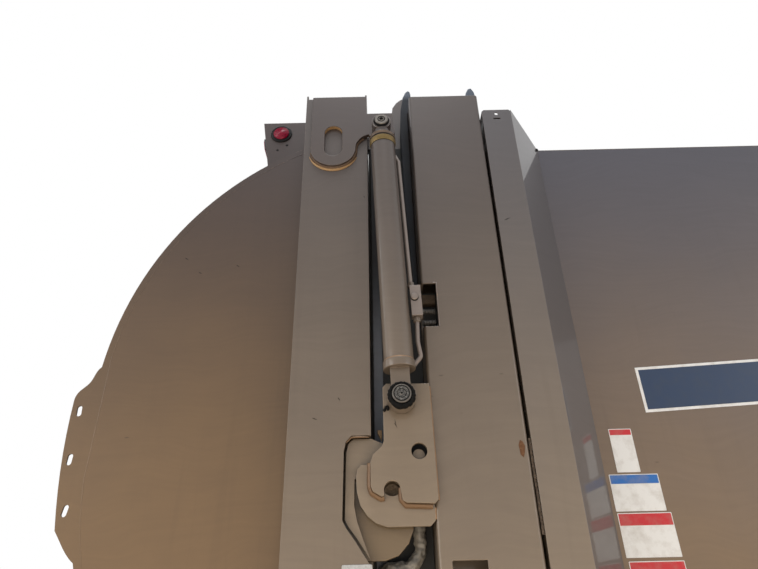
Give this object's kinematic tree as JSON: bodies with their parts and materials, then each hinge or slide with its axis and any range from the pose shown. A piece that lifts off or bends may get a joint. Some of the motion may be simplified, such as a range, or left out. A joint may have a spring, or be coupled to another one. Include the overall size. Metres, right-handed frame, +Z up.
{
  "type": "refuse truck tailgate with rear body section",
  "caption": "Domed refuse truck tailgate on its rear body section: it hinges up on goosenecks over the roof, pushed by a lift cylinder on each side.",
  "frame": {"origin": "under the middle of the whole piece, on the floor that its long sills stand on", "axes": "+X to the truck's front, +Y to its left, +Z up"},
  "size_m": [2.818, 2.6, 2.354],
  "materials": {
    "bronze_paint": "satin metallic bronze paint",
    "pin_steel": "worn steel",
    "rod_chrome": "hard chrome",
    "seal_grey": "satin grey paint",
    "black_rubber": "matte rubber",
    "red_lens": "moulded red lens",
    "lamp_housing": "moulded black"
  },
  "bodies": {
    "body_section": {"long_sills": "bronze_paint", "crossmembers": "bronze_paint", "floor_plate": "bronze_paint", "roof_panel": "bronze_paint", "side_wall_right": "bronze_paint", "side_wall_left": "bronze_paint", "front_ring": "bronze_paint", "rear_post_right": "bronze_paint", "rear_post_left": "bronze_paint", "post_fins_right": "bronze_paint", "post_fins_left": "bronze_paint", "rear_header": "bronze_paint", "post_cover_right": "bronze_paint", "post_cover_left": "bronze_paint", "latch_plate_right": "bronze_paint", "latch_plate_left": "bronze_paint", "guide_plate_right": "bronze_paint", "guide_plate_left": "bronze_paint", "hinge_brackets": "bronze_paint", "hinge_pins": "pin_steel", "lower_pins": "pin_steel", "seal_frame": "seal_grey", "lock_hose_right": "black_rubber", "lock_hose_left": "black_rubber"},
    "tailgate": {"gate_side_right": "bronze_paint", "gate_side_left": "bronze_paint", "rear_wrap": "bronze_paint", "gate_post_right": "bronze_paint", "gate_post_left": "bronze_paint", "gate_header": "bronze_paint", "gate_sill": "bronze_paint", "gate_ear_right": "bronze_paint", "gate_ear_left": "bronze_paint", "hinge_arm_right": "bronze_paint", "hinge_arm_left": "bronze_paint", "lamp_box_right": "bronze_paint", "lamp_box_left": "bronze_paint", "marker_grommets": "black_rubber", "marker_lenses": "red_lens", "box_lamps": "lamp_housing", "lamp_panel": "bronze_paint", "panel_lamps": "red_lens", "striker_plate_right": "bronze_paint", "striker_plate_left": "bronze_paint", "lock_pins": "pin_steel"},
    "barrel_right": {"lift_barrel_right": "bronze_paint", "pipe_block_right": "bronze_paint", "oil_pipe_right": "bronze_paint"},
    "barrel_left": {"lift_barrel_left": "bronze_paint", "pipe_block_left": "bronze_paint", "oil_pipe_left": "bronze_paint"},
    "rod_right": {"lift_rod_right": "rod_chrome"},
    "rod_left": {"lift_rod_left": "rod_chrome"}
  },
  "joints": [
    {"name": "tailgate_hinge", "type": "hinge", "parent": "body_section", "child": "tailgate", "pos_m": [-0.241, 0, 2.26], "axis": [0, 1, 0], "range_deg": [0, 90]},
    {"name": "barrel_pivot_right", "type": "hinge", "parent": "body_section", "child": "barrel_right", "pos_m": [-0.49, -1.257, 1.072], "axis": [0, 1, 0], "range_deg": [0, 2.47]},
    {"name": "rod_slide_right", "type": "slide", "parent": "barrel_right", "child": "rod_right", "axis": [-0.0325, 0, 0.9995], "range_m": [0, 0.5141]},
    {"name": "barrel_pivot_left", "type": "hinge", "parent": "body_section", "child": "barrel_left", "pos_m": [-0.49, 1.257, 1.072], "axis": [0, 1, 0], "range_deg": [0, 2.47]},
    {"name": "rod_slide_left", "type": "slide", "parent": "barrel_left", "child": "rod_left", "axis": [-0.0325, 0, 0.9995], "range_m": [0, 0.5141]}
  ],
  "couplings": [
    {"joint": "barrel_pivot_right", "follows": "tailgate_hinge", "ratio": 0.027184},
    {"joint": "rod_slide_right", "follows": "tailgate_hinge", "m_per_rad": 0.32695},
    {"joint": "barrel_pivot_left", "follows": "tailgate_hinge", "ratio": 0.027184},
    {"joint": "rod_slide_left", "follows": "tailgate_hinge", "m_per_rad": 0.32695}
  ]
}
